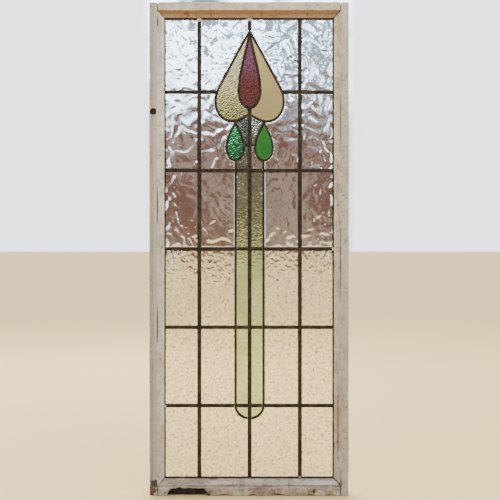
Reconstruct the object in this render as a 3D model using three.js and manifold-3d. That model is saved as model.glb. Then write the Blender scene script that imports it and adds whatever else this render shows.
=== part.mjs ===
// A leaded stained glass window in a painted softwood frame.
// Millimetres, +Z up. The origin is at the middle of the sill edge, the frame's underside.
// X runs along the width, and the beaded face looks towards -Y.

import * as THREE from 'three';
import { mergeVertices } from 'three/addons/utils/BufferGeometryUtils.js';
import Module from 'manifold-3d';

const wasm = await Module();
wasm.setup();

// Frame
const FRAME_WIDTH = 480;
const FRAME_HEIGHT = 1188;
const FRAME_DEPTH = 42;
const FACE_WIDTH = 20; // flat painted face outside the rebate
const REBATE_WIDTH = 16;
const REBATE_DEPTH = 26; // from the beaded face back to the lip
const SILL_WEATHERING = 4; // sloped front edge on top of the bottom rail's face
const LIP_CHAMFER = 5; // on the lip's inner arris, at the back
const TENON_THICKNESS = 10;
const TENON_SETBACK = 2; // behind the front of the lip
const TENON_SHOULDER = 6; // rail left above and below the tenon
const JOINERY_GAP = 0.3;

// Glazing beads
const BEAD_EDGE = 1.5; // thickness of the bead at its thin sight edge
const BEAD_BREAK = 7; // from the sight edge to the line between the two facets
const BEAD_BREAK_RISE = 4.5; // height gained up to that line
const BEAD_SETBACK = 1; // back of the frame's face at the thick edge

// Leaded panel
const PANEL_CLEARANCE = 2; // between the panel's edge and the rebate
const BED_GAP = 0.3; // putty line between the lead and the lip or bead
const GLASS_THICKNESS = 3.6;
const CHANNEL_GAP = 0.4; // from glass to lead leaf, each side
const EDGE_GAP = 0.6; // from glass edge to heart
const LEAF = 1.5; // thickness of a came's leaf at its middle
const LEAF_CROWN = 1.2; // how far in from its rim the leaf slopes
const HEART = 1.4;
const BORDER_FLANGE = 16;
const BORDER_HEART = 6; // heart of the border came, from its outer edge
const UPRIGHT_FLANGE = 9.5;
const CROSS_FLANGE = 8.5;
const THIN_FLANGE = 6;
const SOLDER_GAP = 0.3; // left between two cames where they are soldered

// Pattern, its heights measured down from the frame's head
const PATTERN_X = 1.2; // the pattern stands this far right of the frame's centre
const UPRIGHT_X = 122;
const STEM_X = 34;
const ROW_PITCH = 190;
const MIDDLE_ROW_Z = FRAME_HEIGHT - 593.6;
const LOOP_DROP = 31; // depth of the U below the lowest cross came
const DROP_BAR_Z = FRAME_HEIGHT - 343;
const BUD_TIP_Z = FRAME_HEIGHT - 65;
const BUD_SHOULDER = [74, FRAME_HEIGHT - 202];
const BUD_HALF_WIDTH = 82.7;
const BUD_WIDEST_Z = FRAME_HEIGHT - 238;
const BUD_LOBE = [42, FRAME_HEIGHT - 284.5];
const BUD_CUSP_Z = FRAME_HEIGHT - 267;
const PETAL_TIP_Z = FRAME_HEIGHT - 72;
const PETAL_HALF_WIDTH = 26.5;
const PETAL_WIDEST_Z = FRAME_HEIGHT - 209;
const PETAL_FOOT_Z = FRAME_HEIGHT - 252;
const DROP_X = 35;
const DROP_TIP_Z = FRAME_HEIGHT - 287.5;
const DROP_HALF_WIDTH = 21.4;
const DROP_WIDEST_Z = FRAME_HEIGHT - 347;
const DROP_FOOT_Z = FRAME_HEIGHT - 379;
const BEND_OVERRUN = 8; // length that a bent came is carried on before its ends are trimmed
const SLACK = 4; // chords in a nearly straight stretch of an outline
const ROUND = 7; // chords in a round stretch

// Old damage
const RECESS = { x: -231, z: FRAME_HEIGHT - 263, size: 14, depth: 10 };
const ROT = { left: -196, right: -101, height: 20, depth: 15 };
const ROT_EDGE = [0.35, 0.9, 0.86, 1.08, 0.88, 0.84, 0.86, 0.9, 0.84, 0.96, 0.42];
const CORNER_BREAK = { width: 12, height: 34, depth: 7 };
const CORNER_EDGE = [1, 0.75, 0.9, 0.5, 0.65, 0.3, 0.4, 0.12];
const SILL_CHIPS = [[-62, 26, 4], [8, 15, 2.5], [71, 34, 4.5], [146, 20, 3], [196, 27, 5]];
const CHIP_DEPTH = 7;

// Places worked out from the sizes above
const HALF_WIDTH = FRAME_WIDTH / 2;
const FRONT = -FRAME_DEPTH / 2;
const BACK = FRAME_DEPTH / 2;
const LIP_FRONT = FRONT + REBATE_DEPTH;
const STILE_WIDTH = FACE_WIDTH + REBATE_WIDTH;
const REBATE_X = HALF_WIDTH - FACE_WIDTH;
const SIGHT_X = REBATE_X - REBATE_WIDTH;
const REBATE_TOP = FRAME_HEIGHT - FACE_WIDTH;
const SIGHT_TOP = REBATE_TOP - REBATE_WIDTH;
const REBATE_FOOT = FACE_WIDTH + SILL_WEATHERING;
const SIGHT_FOOT = REBATE_FOOT + REBATE_WIDTH;
const CHANNEL = GLASS_THICKNESS + 2 * CHANNEL_GAP;
const CAME_DEPTH = CHANNEL + 2 * LEAF;
const PANE_Y = LIP_FRONT - BED_GAP - CAME_DEPTH / 2;
const PANEL_X = REBATE_X - PANEL_CLEARANCE;
const PANEL_TOP = REBATE_TOP - PANEL_CLEARANCE;
const PANEL_FOOT = REBATE_FOOT + PANEL_CLEARANCE;
const CROSS_ROWS = [2, 1, 0, -1, -2].map((row) => MIDDLE_ROW_Z + row * ROW_PITCH);
const [ROW_1, ROW_2, , , ROW_5] = CROSS_ROWS;
const SLIVER = 0.2; // overlap that joins two solids of one piece

// Plan outlines: x along the width, y of the shape up the window

function rectangle(left, right, foot, top) {
  return [[left, foot], [right, foot], [right, top], [left, top]].map(([x, z]) => new THREE.Vector2(x, z));
}

function bezier(...points) {
  return new THREE.CubicBezierCurve(...points.map(([x, z]) => new THREE.Vector2(x, z)));
}

// Stations along half an outline, each a place and a direction, carried straight on past both ends
function stationsAlong(...stretches) {
  const stations = [];
  for (const [curve, chords] of stretches) {
    for (let i = stations.length ? 1 : 0; i <= chords; i += 1) {
      stations.push({ place: curve.getPoint(i / chords), along: curve.getTangent(i / chords) });
    }
  }
  const carriedOn = ({ place, along }, reach) => {
    const end = place.clone().addScaledVector(along, reach);
    return { place: end, along };
  };
  return [carriedOn(stations[0], -BEND_OVERRUN), ...stations, carriedOn(stations.at(-1), BEND_OVERRUN)];
}

// Right half of each leaf-like outline, from its tip down to its foot, about its own axis
const budHalf = stationsAlong(
  [bezier([0, BUD_TIP_Z], [24, BUD_TIP_Z - 42], [52, BUD_SHOULDER[1] + 42], BUD_SHOULDER), SLACK],
  [bezier(
    BUD_SHOULDER,
    [80, BUD_SHOULDER[1] - 11],
    [BUD_HALF_WIDTH, BUD_WIDEST_Z + 16],
    [BUD_HALF_WIDTH, BUD_WIDEST_Z],
  ), SLACK],
  [bezier(
    [BUD_HALF_WIDTH, BUD_WIDEST_Z],
    [BUD_HALF_WIDTH, BUD_WIDEST_Z - 27],
    [64, BUD_LOBE[1]],
    BUD_LOBE,
  ), ROUND],
  [bezier(BUD_LOBE, [27, BUD_LOBE[1]], [14, BUD_CUSP_Z - 9], [0, BUD_CUSP_Z]), SLACK],
);
const petalHalf = stationsAlong(
  [bezier(
    [0, PETAL_TIP_Z],
    [7, PETAL_TIP_Z - 42],
    [PETAL_HALF_WIDTH, PETAL_WIDEST_Z + 42],
    [PETAL_HALF_WIDTH, PETAL_WIDEST_Z],
  ), SLACK],
  [bezier(
    [PETAL_HALF_WIDTH, PETAL_WIDEST_Z],
    [PETAL_HALF_WIDTH, PETAL_WIDEST_Z - 25],
    [14, PETAL_FOOT_Z],
    [0, PETAL_FOOT_Z],
  ), ROUND],
);
const dropHalf = stationsAlong(
  [bezier(
    [0, DROP_TIP_Z],
    [7, DROP_TIP_Z - 16],
    [DROP_HALF_WIDTH, DROP_WIDEST_Z + 21],
    [DROP_HALF_WIDTH, DROP_WIDEST_Z],
  ), SLACK],
  [bezier(
    [DROP_HALF_WIDTH, DROP_WIDEST_Z],
    [DROP_HALF_WIDTH, DROP_WIDEST_Z - 19],
    [12, DROP_FOOT_Z],
    [0, DROP_FOOT_Z],
  ), ROUND],
);
// The right stem: straight down from the drop, then round half of the U
const stemHalf = stationsAlong(
  [new THREE.LineCurve(new THREE.Vector2(STEM_X, DROP_FOOT_Z), new THREE.Vector2(STEM_X, ROW_5)), 1],
  [new THREE.EllipseCurve(0, ROW_5, STEM_X, LOOP_DROP, 0, -Math.PI / 2, true), ROUND],
);

// Moves half an outline outwards by a distance, and ends it on its axis.
function offsetHalf(half, distance) {
  const moved = half.map(({ place, along }) => new THREE.Vector2(
    place.x - along.y * distance,
    place.y + along.x * distance,
  ));
  const endOnAxis = (points) => {
    while (points[1].x <= 0) points.shift();
    const [end, next] = points;
    if (end.x > 0) return [new THREE.Vector2(0, end.y), ...points];
    const crossing = end.clone().lerp(next, end.x / (end.x - next.x));
    return [crossing.setX(0), ...points.slice(1)];
  };
  return endOnAxis(endOnAxis(moved).reverse()).reverse();
}

// The whole outline about its axis: a leaf, or the stem with its U
function outlineOf(half, axisX, distance) {
  const right = offsetHalf(half, distance);
  const left = right.slice(1, -1).reverse().map(({ x, y }) => new THREE.Vector2(-x, y));
  return [...right, ...left].map(({ x, y }) => new THREE.Vector2(x + axisX, y));
}

// Solids

function solidOf(geometry) {
  const bare = geometry.clone();
  bare.deleteAttribute('normal');
  bare.deleteAttribute('uv');
  const merged = mergeVertices(bare, 1e-4);
  return new wasm.Manifold(new wasm.Mesh({
    numProp: 3,
    vertProperties: new Float32Array(merged.attributes.position.array),
    triVerts: new Uint32Array(merged.index.array),
  }));
}

function geometryOf(solid) {
  const mesh = solid.getMesh();
  const geometry = new THREE.BufferGeometry();
  geometry.setAttribute('position', new THREE.BufferAttribute(new Float32Array(mesh.vertProperties), 3));
  geometry.setIndex(new THREE.BufferAttribute(new Uint32Array(mesh.triVerts), 1));
  geometry.computeVertexNormals();
  return geometry;
}

// A plan outline as a plate between two depths
function plate(outline, front, back) {
  const shape = new THREE.Shape(outline);
  const geometry = new THREE.ExtrudeGeometry(shape, { depth: back - front, bevelEnabled: false });
  geometry.rotateX(Math.PI / 2);
  geometry.translate(0, back, 0);
  return solidOf(geometry);
}

function join(solids) {
  return solids.reduce((whole, solid) => whole.add(solid));
}

function cut(solid, ...tools) {
  return tools.reduce((rest, tool) => rest.subtract(tool), solid);
}

// A profile of [across, depth] points run along X or Z, as a plane cuts a moulding
function moulding(profile, axis, start, end) {
  const shape = new THREE.Shape(profile.map(([across, depth]) => new THREE.Vector2(across, depth)));
  const geometry = new THREE.ExtrudeGeometry(shape, { depth: end - start, bevelEnabled: false });
  if (axis === 'x') {
    geometry.applyMatrix4(new THREE.Matrix4().makeBasis(
      new THREE.Vector3(0, 0, 1),
      new THREE.Vector3(0, 1, 0),
      new THREE.Vector3(-1, 0, 0),
    ));
    geometry.translate(end, 0, 0);
  } else {
    geometry.translate(0, 0, start);
  }
  return solidOf(geometry);
}

const materials = {
  paint: new THREE.MeshStandardMaterial({ color: 0xbfb5a8, roughness: 0.75, metalness: 0 }),
  lead: new THREE.MeshStandardMaterial({ color: 0x37291d, roughness: 0.6, metalness: 0.6 }),
  clear: glassMaterial(0xe9eef0),
  amber: glassMaterial(0xd8c596),
  petal: glassMaterial(0x8a3438),
  teal: glassMaterial(0x3fa56a),
  leafGreen: glassMaterial(0x2c8f30),
  celadon: glassMaterial(0xccd3ab),
  calyx: glassMaterial(0xb9c2b0),
};

function glassMaterial(color) {
  const finish = { roughness: 0.1, metalness: 0, transparent: true, opacity: 0.5 };
  return new THREE.MeshStandardMaterial({ color, ...finish });
}

const leadedWindow = new THREE.Group();

function addPiece(name, solid, material) {
  const mesh = new THREE.Mesh(geometryOf(solid), material);
  mesh.name = name;
  leadedWindow.add(mesh);
}

// Frame: two full-height stiles, and rails tenoned through them

// One side of the frame as a profile of [distance from the outer edge, depth]
function framePiece(face, weathering) {
  const width = face + weathering + REBATE_WIDTH;
  return [
    [0, FRONT],
    [face, FRONT],
    [face + weathering, FRONT + weathering],
    [face + weathering, LIP_FRONT],
    [width, LIP_FRONT],
    [width, BACK - LIP_CHAMFER],
    [width - LIP_CHAMFER, BACK],
    [0, BACK],
  ];
}

const CHAMFER_START = 5; // place of the chamfer's first point in that profile
const TENON_FRONT = LIP_FRONT + TENON_SETBACK;
const TENON_BACK = TENON_FRONT + TENON_THICKNESS;

function makeFrame() {
  const side = framePiece(FACE_WIDTH, 0);
  const sill = framePiece(FACE_WIDTH, SILL_WEATHERING);
  const railHeights = { top: STILE_WIDTH, bottom: STILE_WIDTH + SILL_WEATHERING };
  const rails = {
    top: { profile: side.map(([across, depth]) => [FRAME_HEIGHT - across, depth]), foot: SIGHT_TOP },
    bottom: { profile: sill, foot: 0 },
  };

  // A rail stops at the rebate in front and at the lip behind, and its tenons run through the stiles.
  const makeRail = ({ profile, foot }, height) => {
    const shoulder = SIGHT_X - JOINERY_GAP;
    const frontShoulder = REBATE_X - JOINERY_GAP;
    const back = moulding(profile, 'x', -shoulder, shoulder);
    const whole = moulding(profile, 'x', -frontShoulder, frontShoulder);
    const wholeFace = rectangle(-HALF_WIDTH, HALF_WIDTH, 0, FRAME_HEIGHT);
    const frontPart = plate(wholeFace, FRONT - 1, LIP_FRONT - JOINERY_GAP);
    const tenonFoot = foot + TENON_SHOULDER;
    const tenonTop = foot + height - TENON_SHOULDER;
    const tenon = plate(rectangle(-HALF_WIDTH, HALF_WIDTH, tenonFoot, tenonTop), TENON_FRONT, TENON_BACK);
    const gap = JOINERY_GAP;
    const mortise = plate(
      rectangle(-HALF_WIDTH - 1, HALF_WIDTH + 1, tenonFoot - gap, tenonTop + gap),
      TENON_FRONT - gap,
      TENON_BACK + gap,
    );
    return { rail: join([whole.intersect(frontPart), back, tenon]), mortise };
  };
  const top = makeRail(rails.top, railHeights.top);
  const bottom = makeRail(rails.bottom, railHeights.bottom);

  // The lip's chamfer stops where the rails meet the stile, and its back is square there.
  const squareEnd = side.flatMap(([across, depth], i) => {
    if (i === CHAMFER_START) return [[STILE_WIDTH, BACK]];
    return i === CHAMFER_START + 1 ? [] : [[across, depth]];
  });
  const makeStile = (place) => cut(join([
    moulding(side.map(place), 'z', SIGHT_FOOT - SLIVER, SIGHT_TOP + SLIVER),
    moulding(squareEnd.map(place), 'z', 0, SIGHT_FOOT),
    moulding(squareEnd.map(place), 'z', SIGHT_TOP, FRAME_HEIGHT),
  ]), top.mortise, bottom.mortise);
  const left = makeStile(([across, depth]) => [across - HALF_WIDTH, depth]);
  const right = makeStile(([across, depth]) => [HALF_WIDTH - across, depth]);

  const { x, z, size, depth } = RECESS;
  const mouth = rectangle(x - size / 2, x + size / 2, z - size / 2, z + size / 2);
  const recess = plate(mouth, FRONT - 1, FRONT + depth);
  addPiece('stile_left', cut(left, recess, brokenCorner()), materials.paint);
  addPiece('stile_right', right, materials.paint);
  addPiece('rail_top', top.rail, materials.paint);
  addPiece('rail_bottom', cut(bottom.rail, rottedStretch(), ...sillChips()), materials.paint);
}

// Rot has eaten the lower front of the bottom rail, with a ragged upper edge.
function rottedStretch() {
  const { left, right, height, depth } = ROT;
  const ragged = ROT_EDGE.map((share, i) => new THREE.Vector2(
    left + ((right - left) * i) / (ROT_EDGE.length - 1),
    height * share,
  ));
  const outline = [new THREE.Vector2(right, -1), ...ragged.reverse(), new THREE.Vector2(left, -1)];
  return plate(outline, FRONT - 1, FRONT + depth);
}

// The outer arris of the left stile is broken away at its foot.
function brokenCorner() {
  const { width, height, depth } = CORNER_BREAK;
  const ragged = CORNER_EDGE.map((share, i) => new THREE.Vector2(
    -HALF_WIDTH + width * share,
    (height * i) / (CORNER_EDGE.length - 1),
  ));
  const outside = -HALF_WIDTH - 1;
  const outline = [
    new THREE.Vector2(outside, -1),
    new THREE.Vector2(ragged[0].x, -1),
    ...ragged,
    new THREE.Vector2(outside, height),
  ];
  return plate(outline, FRONT - 1, FRONT + depth);
}

function sillChips() {
  return SILL_CHIPS.map(([x, width, height]) => plate(
    [
      new THREE.Vector2(x - width / 2, -1),
      new THREE.Vector2(x + width / 2, -1),
      new THREE.Vector2(x + width / 3, height * 0.6),
      new THREE.Vector2(x, height),
      new THREE.Vector2(x - width / 4, height * 0.7),
    ],
    FRONT - 1,
    FRONT + CHIP_DEPTH,
  ));
}

// Beads: two splayed facets, mitred at the corners

function makeBeads() {
  const back = PANE_Y - CAME_DEPTH / 2 - BED_GAP;
  const foot = REBATE_WIDTH - JOINERY_GAP;
  // [distance in from the rebate's side, depth]
  const profile = [
    [JOINERY_GAP, FRONT + BEAD_SETBACK],
    [foot - BEAD_BREAK, back - BEAD_EDGE - BEAD_BREAK_RISE],
    [foot, back - BEAD_EDGE],
    [foot, back],
    [JOINERY_GAP, back],
  ];
  const upright = (side) => {
    const points = profile.map(([across, depth]) => [side * (REBATE_X - across), depth]);
    return moulding(points, 'z', REBATE_FOOT, REBATE_TOP);
  };
  const level = (edge, towards) => {
    const points = profile.map(([across, depth]) => [edge + towards * across, depth]);
    return moulding(points, 'x', -REBATE_X, REBATE_X);
  };

  // The mitre planes stand at 45 degrees on the rebate's corners.
  const reach = REBATE_WIDTH * 2;
  const gap = JOINERY_GAP;
  const mitre = (sideX, cornerZ, towards) => plate(
    [
      [sideX * (REBATE_X + reach), cornerZ - towards * (reach + gap)],
      [sideX * (REBATE_X - reach), cornerZ + towards * (reach - gap)],
      [sideX * (REBATE_X - reach), cornerZ + towards * (reach + gap)],
      [sideX * (REBATE_X + reach), cornerZ - towards * (reach - gap)],
    ].map(([x, z]) => new THREE.Vector2(x, z)),
    FRONT - 1,
    BACK,
  );
  const inside = (side, cornerZ, towards) => plate(
    [
      [side * (REBATE_X + reach), cornerZ - towards * reach],
      [side * (REBATE_X - reach), cornerZ + towards * reach],
      [side * (REBATE_X - reach), cornerZ - towards * reach],
    ].map(([x, z]) => new THREE.Vector2(x, z)),
    FRONT - 1,
    BACK,
  );
  const corners = [[REBATE_FOOT, 1], [REBATE_TOP, -1]];
  for (const [name, side] of [['left', -1], ['right', 1]]) {
    const waste = corners.flatMap(([z, towards]) => [inside(side, z, towards), mitre(side, z, towards)]);
    addPiece(`bead_${name}`, cut(upright(side), ...waste), materials.paint);
  }
  for (const [name, [z, towards]] of [['bottom', corners[0]], ['top', corners[1]]]) {
    const outside = [-1, 1].map((side) => plate(
      [
        [side * (REBATE_X + reach), z - towards * reach],
        [side * (REBATE_X - reach), z + towards * reach],
        [side * (REBATE_X + reach), z + towards * reach],
      ].map(([x, y]) => new THREE.Vector2(x, y)),
      FRONT - 1,
      BACK,
    ));
    const kerfs = [-1, 1].map((side) => mitre(side, z, towards));
    addPiece(`bead_${name}`, cut(level(z, towards), ...outside, ...kerfs), materials.paint);
  }
}

// Lead cames

const CAME_FRONT = PANE_Y - CAME_DEPTH / 2;
const CAME_BACK = PANE_Y + CAME_DEPTH / 2;

// An H section of [across, depth]: two leaves that slope off towards their rims, and the heart
function cameSection(flange, heartAt = 0) {
  const side = (towards) => {
    const rim = (towards * flange) / 2;
    const core = heartAt + (towards * HEART) / 2;
    return [
      [rim - towards * LEAF_CROWN, CAME_FRONT],
      [rim, PANE_Y - CHANNEL / 2],
      [core, PANE_Y - CHANNEL / 2],
      [core, PANE_Y + CHANNEL / 2],
      [rim, PANE_Y + CHANNEL / 2],
      [rim - towards * LEAF_CROWN, CAME_BACK],
    ];
  };
  return [...side(1), ...side(-1).reverse()];
}

function straightCame(axis, at, ends, flange, heartAt) {
  const section = cameSection(flange, heartAt).map(([across, depth]) => [at + across, depth]);
  return moulding(section, axis, Math.min(...ends), Math.max(...ends));
}

// The line of a bent came in space, stepped through one station at a time
class CameRoute extends THREE.Curve {
  constructor(half, axisX, side) {
    super();
    this.stations = half.map(({ place, along }) => ({
      place: new THREE.Vector3(axisX + side * place.x, 0, place.y),
      along: new THREE.Vector3(side * along.x, 0, along.y),
    }));
  }

  at(share) {
    return this.stations[Math.round(share * (this.stations.length - 1))];
  }

  getPointAt(share) {
    return this.at(share).place.clone();
  }

  getTangentAt(share) {
    return this.at(share).along.clone();
  }
}

function bentCame(half, axisX, side) {
  const extrudePath = new CameRoute(half, axisX, side);
  // Along a route in the window's plane, the shape's x runs to the front and its y across.
  const section = cameSection(THIN_FLANGE).map(([across, depth]) => new THREE.Vector2(-depth, across));
  const run = { steps: half.length - 1, extrudePath };
  const geometry = new THREE.ExtrudeGeometry(new THREE.Shape(section), run);
  const ownSide = throughout(span(axisX - side * SLIVER, axisX + side * FRAME_WIDTH));
  return solidOf(geometry).intersect(ownSide);
}

function throughout(outline) {
  return plate(outline, CAME_FRONT - 1, CAME_BACK + 1);
}

// The full height of the window between two places along its width
function span(from, to, foot = 0, top = FRAME_HEIGHT) {
  return rectangle(Math.min(from, to), Math.max(from, to), foot, top);
}

const SIDES = [['left', -1], ['right', 1]];
const budReach = (distance) => outlineOf(budHalf, PATTERN_X, distance);
const petalReach = (distance) => outlineOf(petalHalf, PATTERN_X, distance);
const stemReach = (distance) => outlineOf(stemHalf, PATTERN_X, distance);
const dropReach = (side, distance) => outlineOf(dropHalf, PATTERN_X + side * DROP_X, distance);

function makeLead() {
  const clear = THIN_FLANGE / 2 + SOLDER_GAP;
  const spineClear = UPRIGHT_FLANGE / 2 + SOLDER_GAP;
  const innerX = PANEL_X - BORDER_FLANGE - SOLDER_GAP;
  const innerTop = PANEL_TOP - BORDER_FLANGE - SOLDER_GAP;
  const innerFoot = PANEL_FOOT + BORDER_FLANGE + SOLDER_GAP;
  const budSolid = throughout(budReach(clear));
  const petalSolid = throughout(petalReach(clear));
  const dropSolids = SIDES.map(([, side]) => throughout(dropReach(side, clear)));

  // Border: its heart stands nearer the outer rim
  const middle = BORDER_FLANGE / 2;
  const heartAt = middle - BORDER_HEART;
  addPiece('border_lead', join([
    straightCame('z', middle - PANEL_X, [PANEL_FOOT, PANEL_TOP], BORDER_FLANGE, -heartAt),
    straightCame('z', PANEL_X - middle, [PANEL_FOOT, PANEL_TOP], BORDER_FLANGE, heartAt),
    straightCame('x', PANEL_FOOT + middle, [-PANEL_X, PANEL_X], BORDER_FLANGE, -heartAt),
    straightCame('x', PANEL_TOP - middle, [-PANEL_X, PANEL_X], BORDER_FLANGE, heartAt),
  ]), materials.lead);

  // Uprights, with the cross cames that run from the border to the stem
  for (const [name, side] of SIDES) {
    const ends = [side * innerX, PATTERN_X + side * (STEM_X + clear)];
    const upright = join([
      straightCame('z', PATTERN_X + side * UPRIGHT_X, [innerFoot, innerTop], UPRIGHT_FLANGE),
      ...CROSS_ROWS.map((z) => straightCame('x', z, ends, CROSS_FLANGE)),
    ]);
    addPiece(`upright_lead_${name}`, cut(upright, budSolid), materials.lead);
  }

  // Centre came, with the short cross cames between the stems and between the drops
  const innerEnds = [PATTERN_X - STEM_X, PATTERN_X + STEM_X];
  const innerBars = join(CROSS_ROWS.slice(1).map((z) => straightCame('x', z, innerEnds, CROSS_FLANGE)));
  const centre = join([
    straightCame('z', PATTERN_X, [innerFoot, PETAL_FOOT_Z], UPRIGHT_FLANGE),
    straightCame('x', DROP_BAR_Z, [PATTERN_X - DROP_X, PATTERN_X + DROP_X], THIN_FLANGE),
    innerBars.intersect(throughout(stemReach(-clear))),
  ]);
  addPiece('centre_lead', cut(centre, petalSolid, ...dropSolids), materials.lead);

  // Stems: straight down from the drop, then bent into half of the U
  const spineSolid = throughout(span(PATTERN_X - spineClear, PATTERN_X + spineClear, 0, PETAL_FOOT_Z));
  SIDES.forEach(([name, side], i) => {
    const stem = bentCame(stemHalf, PATTERN_X, side);
    addPiece(`stem_lead_${name}`, cut(stem, dropSolids[i], spineSolid), materials.lead);
  });

  // Bud: two cames that meet at the tip and on the centre came
  const tipSolid = throughout(span(PATTERN_X - clear, PATTERN_X + clear, PETAL_TIP_Z));
  for (const [name, side] of SIDES) {
    const half = bentCame(budHalf, PATTERN_X, side);
    addPiece(`bud_lead_${name}`, cut(half, petalSolid, tipSolid, spineSolid), materials.lead);
  }

  // Petal, with the short came from its tip up to the border, which is wide above the bud
  addPiece('petal_lead', join([
    ...SIDES.map(([, side]) => bentCame(petalHalf, PATTERN_X, side)),
    straightCame('z', PATTERN_X, [PETAL_TIP_Z, innerTop], THIN_FLANGE),
    straightCame('z', PATTERN_X, [BUD_TIP_Z + THIN_FLANGE / 2, innerTop], UPRIGHT_FLANGE),
  ]), materials.lead);

  // Drops, whose tips stop at the bud
  for (const [name, side] of SIDES) {
    const halves = SIDES.map(([, half]) => bentCame(dropHalf, PATTERN_X + side * DROP_X, half));
    addPiece(`drop_lead_${name}`, cut(join(halves), budSolid), materials.lead);
  }
}

// Glass: each pane fills the cell between the hearts of the cames round it

const PANE_FRONT = PANE_Y - GLASS_THICKNESS / 2;
const PANE_BACK = PANE_Y + GLASS_THICKNESS / 2;

function makeGlass() {
  const inset = HEART / 2 + EDGE_GAP;
  const pane = (outline) => plate(outline, PANE_FRONT, PANE_BACK);
  const cell = (from, to, foot, top) => {
    const [left, right] = [from, to].sort((a, b) => a - b);
    return pane(rectangle(left + inset, right - inset, foot + inset, top - inset));
  };
  const budPocket = throughout(budReach(inset));
  const petalPocket = throughout(petalReach(inset));
  const dropPockets = SIDES.map(([, side]) => throughout(dropReach(side, inset)));

  const edgeX = PANEL_X - BORDER_HEART;
  const levels = [PANEL_TOP - BORDER_HEART, ...CROSS_ROWS, PANEL_FOOT + BORDER_HEART];
  const lastRow = levels.length - 1;
  const loopPocket = throughout(stemReach(inset));
  const loopPane = pane(stemReach(-inset));

  for (let row = 1; row <= lastRow; row += 1) {
    const [top, foot] = [levels[row - 1], levels[row]];
    const pockets = row === lastRow ? [loopPocket] : [budPocket, ...dropPockets];
    const meetsStem = row > 1 && row < lastRow;
    SIDES.forEach(([name, side], i) => {
      const upright = PATTERN_X + side * UPRIGHT_X;
      const stem = PATTERN_X + side * STEM_X;
      const outer = cell(upright, side * edgeX, foot, top);
      const inner = cell(upright, meetsStem ? stem : PATTERN_X, foot, top);
      addPiece(`pane_row${row}_outer_${name}`, outer, materials.clear);
      addPiece(`pane_row${row}_inner_${name}`, cut(inner, ...pockets), materials.clear);
      if (row < 3) return;
      const stemCell = cell(stem, PATTERN_X, foot, top);
      const stemPane = row === lastRow ? stemCell.intersect(loopPane) : stemCell;
      addPiece(`stem_pane_row${row}_${name}`, stemPane, materials.celadon);
    });
  }

  // Bud: an amber pane each side of the petal
  const amber = pane(budReach(-inset)).subtract(petalPocket);
  for (const [name, side] of SIDES) {
    const half = throughout(span(PATTERN_X + side * inset, PATTERN_X + side * FRAME_WIDTH));
    addPiece(`amber_pane_${name}`, amber.intersect(half), materials.amber);
  }
  addPiece('petal_pane', pane(petalReach(-inset)), materials.petal);
  addPiece('drop_pane_left', pane(dropReach(-1, -inset)), materials.teal);
  addPiece('drop_pane_right', pane(dropReach(1, -inset)), materials.leafGreen);

  // Four small panes between the drops and the centre came, above and below their cross came
  for (const [name, side] of SIDES) {
    const upper = cell(PATTERN_X, PATTERN_X + side * DROP_X, DROP_BAR_Z, ROW_1);
    const lower = cell(PATTERN_X, PATTERN_X + side * STEM_X, ROW_2, DROP_BAR_Z);
    addPiece(`calyx_pane_upper_${name}`, cut(upper, budPocket, ...dropPockets), materials.calyx);
    addPiece(`calyx_pane_lower_${name}`, cut(lower, budPocket, ...dropPockets), materials.calyx);
  }
}

makeFrame();
makeBeads();
makeLead();
makeGlass();

export default leadedWindow;
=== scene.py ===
# %% [markdown]
# # A leaded window, a lesson in cells
# The window is a tall leaded light in an old painted softwood frame: a bud on a long stem, two green
# drops under it, and a grid of clear rippled glass. It is dressed in four steps: the glass, the lead,
# the wood, and the small marks of age. Each piece takes its outline from the solid it stands for, so
# the measured shape stays and only the surface gets richer.

import math

import bmesh
import bpy
import numpy as np
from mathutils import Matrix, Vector
from mathutils.geometry import delaunay_2d_cdt
from mathutils.kdtree import KDTree


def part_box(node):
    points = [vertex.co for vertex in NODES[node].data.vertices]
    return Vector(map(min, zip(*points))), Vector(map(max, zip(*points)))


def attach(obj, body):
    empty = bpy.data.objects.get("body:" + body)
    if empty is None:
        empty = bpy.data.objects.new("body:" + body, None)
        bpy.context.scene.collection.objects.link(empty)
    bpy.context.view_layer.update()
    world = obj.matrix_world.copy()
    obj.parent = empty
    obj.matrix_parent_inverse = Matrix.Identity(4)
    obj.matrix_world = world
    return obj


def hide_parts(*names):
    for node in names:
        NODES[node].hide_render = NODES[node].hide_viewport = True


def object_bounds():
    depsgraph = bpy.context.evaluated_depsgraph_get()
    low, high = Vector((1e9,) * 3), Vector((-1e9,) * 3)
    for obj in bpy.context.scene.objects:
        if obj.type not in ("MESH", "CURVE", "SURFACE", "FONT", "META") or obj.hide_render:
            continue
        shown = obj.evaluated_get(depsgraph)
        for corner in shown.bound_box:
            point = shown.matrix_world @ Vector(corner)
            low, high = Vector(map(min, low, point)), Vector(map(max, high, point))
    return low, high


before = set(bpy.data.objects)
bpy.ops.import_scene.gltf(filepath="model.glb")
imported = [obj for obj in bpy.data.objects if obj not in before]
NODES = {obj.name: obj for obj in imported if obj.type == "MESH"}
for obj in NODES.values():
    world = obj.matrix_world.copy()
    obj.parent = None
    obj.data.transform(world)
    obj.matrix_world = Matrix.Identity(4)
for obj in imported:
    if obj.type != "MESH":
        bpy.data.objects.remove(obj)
CAD_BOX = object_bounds()
MM = 0.001
print("solids:", len(NODES), "box:", [[round(v, 4) for v in corner] for corner in CAD_BOX])

# %% [markdown]
# ## The studio
# The window was photographed square on, so the camera stands level with its middle. Its distance is
# a guess: far enough that the sides of the rebate just show. The lens then follows from the width
# that the picture takes in.

# %% Camera
CAMERA_X = 2.2 * MM
CAMERA_HEIGHT = 591.7 * MM
CAMERA_DISTANCE = 2.2
PICTURE_WIDTH = 1.2012
SENSOR = 36.0
FARTHEST = 2000.0
FRONT_Y = CAD_BOX[0][1]

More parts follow.
